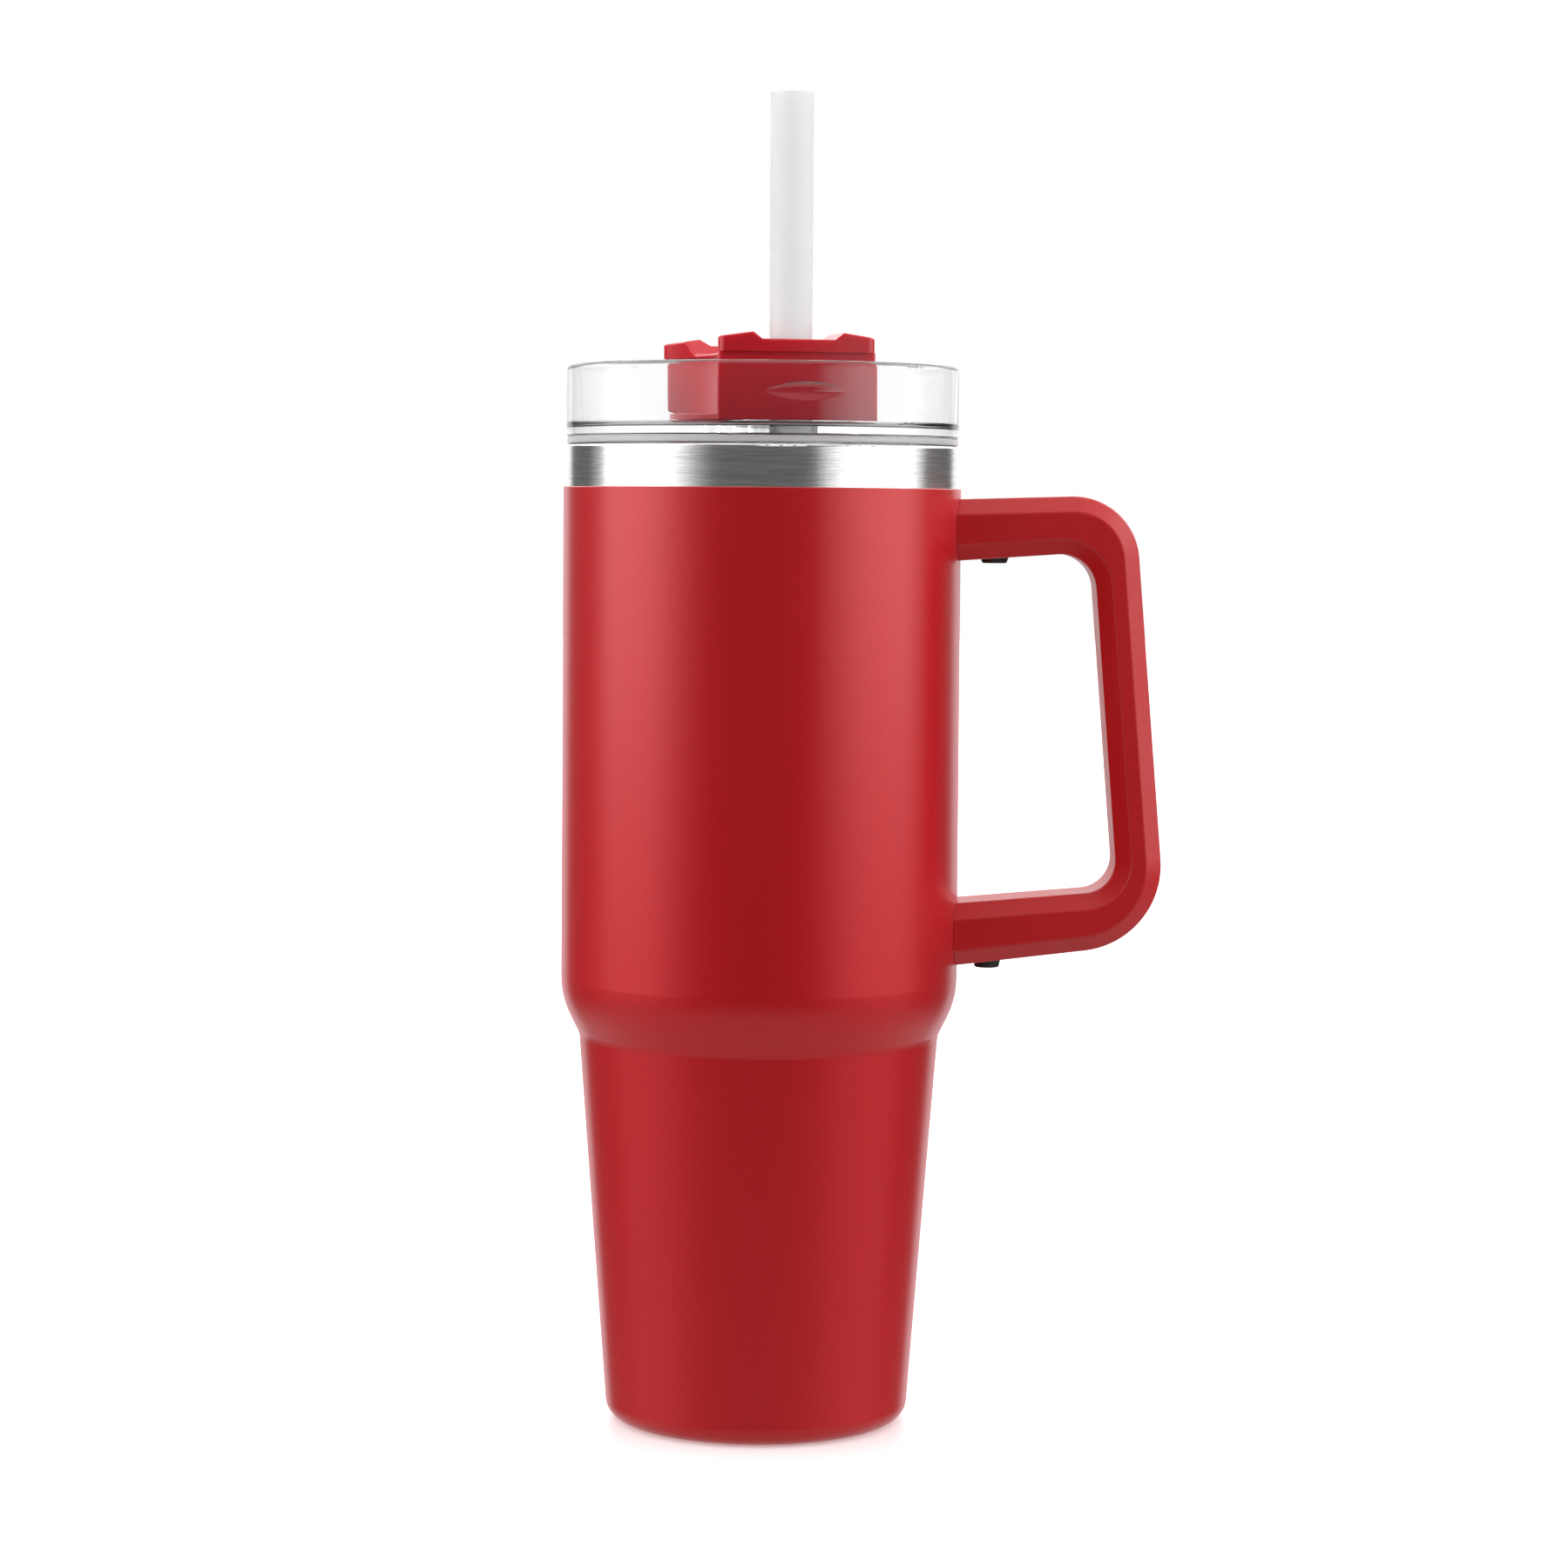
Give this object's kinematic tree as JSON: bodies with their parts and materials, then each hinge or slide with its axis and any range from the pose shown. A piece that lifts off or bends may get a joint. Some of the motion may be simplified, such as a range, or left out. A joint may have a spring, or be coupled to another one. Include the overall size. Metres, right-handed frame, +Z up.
{
  "type": "insulated travel mug",
  "caption": "Tall insulated drinking cup with a tapered lower half, loop handle, clear push-in lid with a turning cover, and a straight straw.",
  "frame": {"origin": "centre of the cup's resting face, on the cup's axis", "axes": "+Z up along the cup's axis, +X from the axis towards the handle, +Y away from the pictured side"},
  "size_m": [0.1507, 0.1001, 0.3318],
  "materials": {
    "coated_steel": "fine-grained red powder coat on stainless steel, bare and brushed above the coat line",
    "bare_steel": "stainless steel, brushed round the axis",
    "seal_glass": "dark glassy solder bead",
    "getter_metal": "pressed metal powder, matte",
    "copper_foil": "thin wrapped copper foil, slightly creased",
    "handle_plastic": "smooth satin dark red moulding",
    "core_plastic": "glass-filled black moulding",
    "screw_steel": "plated steel",
    "black_rubber": "matte black rubber",
    "clear_plastic": "clear, polished",
    "clear_silicone": "milky translucent silicone",
    "cover_plastic": "glossy red moulding",
    "red_silicone": "soft translucent red silicone",
    "straw_plastic": "milky translucent plastic"
  },
  "bodies": {
    "cup": {"outer_shell": "coated_steel", "inner_liner": "bare_steel", "vacuum_base": "bare_steel", "evacuation_seal": "seal_glass", "getter_pill": "getter_metal", "heat_shield": "copper_foil", "base_cap": "bare_steel", "handle_front_shell": "handle_plastic", "handle_back_shell": "handle_plastic", "handle_core": "core_plastic", "upper_handle_bracket": "bare_steel", "lower_handle_bracket": "bare_steel", "upper_handle_screw": "screw_steel", "lower_handle_screw": "screw_steel", "upper_screw_plug": "black_rubber", "lower_screw_plug": "black_rubber"},
    "lid": {"lid_body": "clear_plastic", "lid_gasket": "clear_silicone", "rim_seal": "clear_silicone"},
    "cover": {"turning_cover": "cover_plastic", "cover_disc": "cover_plastic", "closing_pad": "red_silicone", "straw_grommet": "red_silicone", "pivot_pin": "clear_plastic"},
    "straw": {"straw": "straw_plastic"}
  },
  "joints": [
    {"name": "lid_lift", "type": "slide", "parent": "cup", "child": "lid", "axis": [0, 0, 1], "range_m": [0, 0.06]},
    {"name": "cover_turn", "type": "hinge", "parent": "lid", "child": "cover", "pos_m": [0, 0, 0.25], "axis": [0, 0, 1], "range_deg": [-20, 20]},
    {"name": "straw_pull", "type": "slide", "parent": "cover", "child": "straw", "axis": [0, 0, 1], "range_m": [0, 0.28]}
  ]
}
